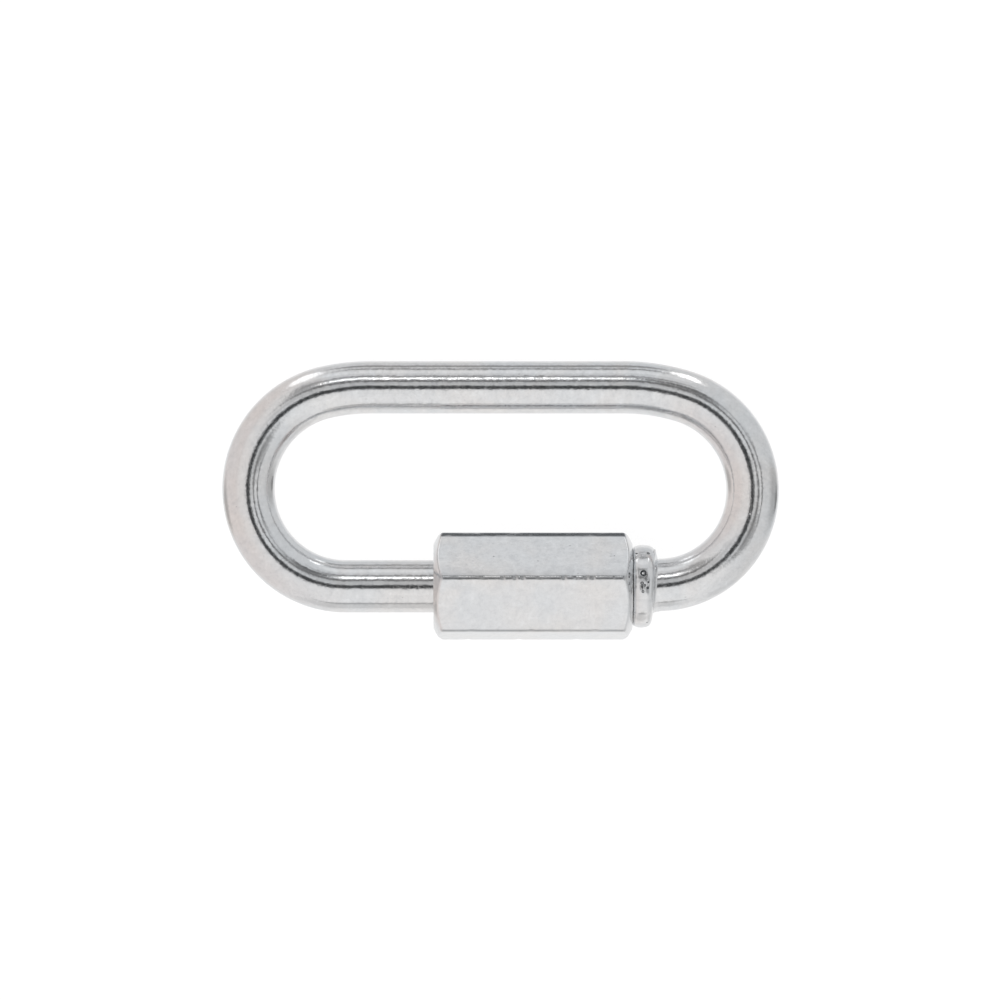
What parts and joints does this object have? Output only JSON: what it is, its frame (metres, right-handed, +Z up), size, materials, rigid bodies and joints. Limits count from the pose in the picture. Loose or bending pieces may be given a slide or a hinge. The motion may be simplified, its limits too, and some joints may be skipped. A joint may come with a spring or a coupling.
{
  "type": "screw-lock quick link",
  "caption": "Oval link bent from steel rod, closed by a long hexagonal sleeve nut that screws over the gap between its two threaded ends.",
  "frame": {"origin": "centre of the bounding box on the surface that the link lies on", "axes": "+X along the link's long sides towards the collar, +Y from the gated side to the plain side, +Z up from the surface"},
  "size_m": [0.0504, 0.0254, 0.01],
  "materials": {
    "rod_zinc": "satin",
    "nut_zinc": "satin"
  },
  "bodies": {
    "link": {"link_body": "rod_zinc"},
    "sleeve": {"hex_sleeve_nut": "nut_zinc"}
  },
  "joints": [
    {"name": "nut_travel", "type": "slide", "parent": "link", "child": "sleeve", "axis": [-1, 0, 0], "range_m": [0, 0.008]}
  ]
}
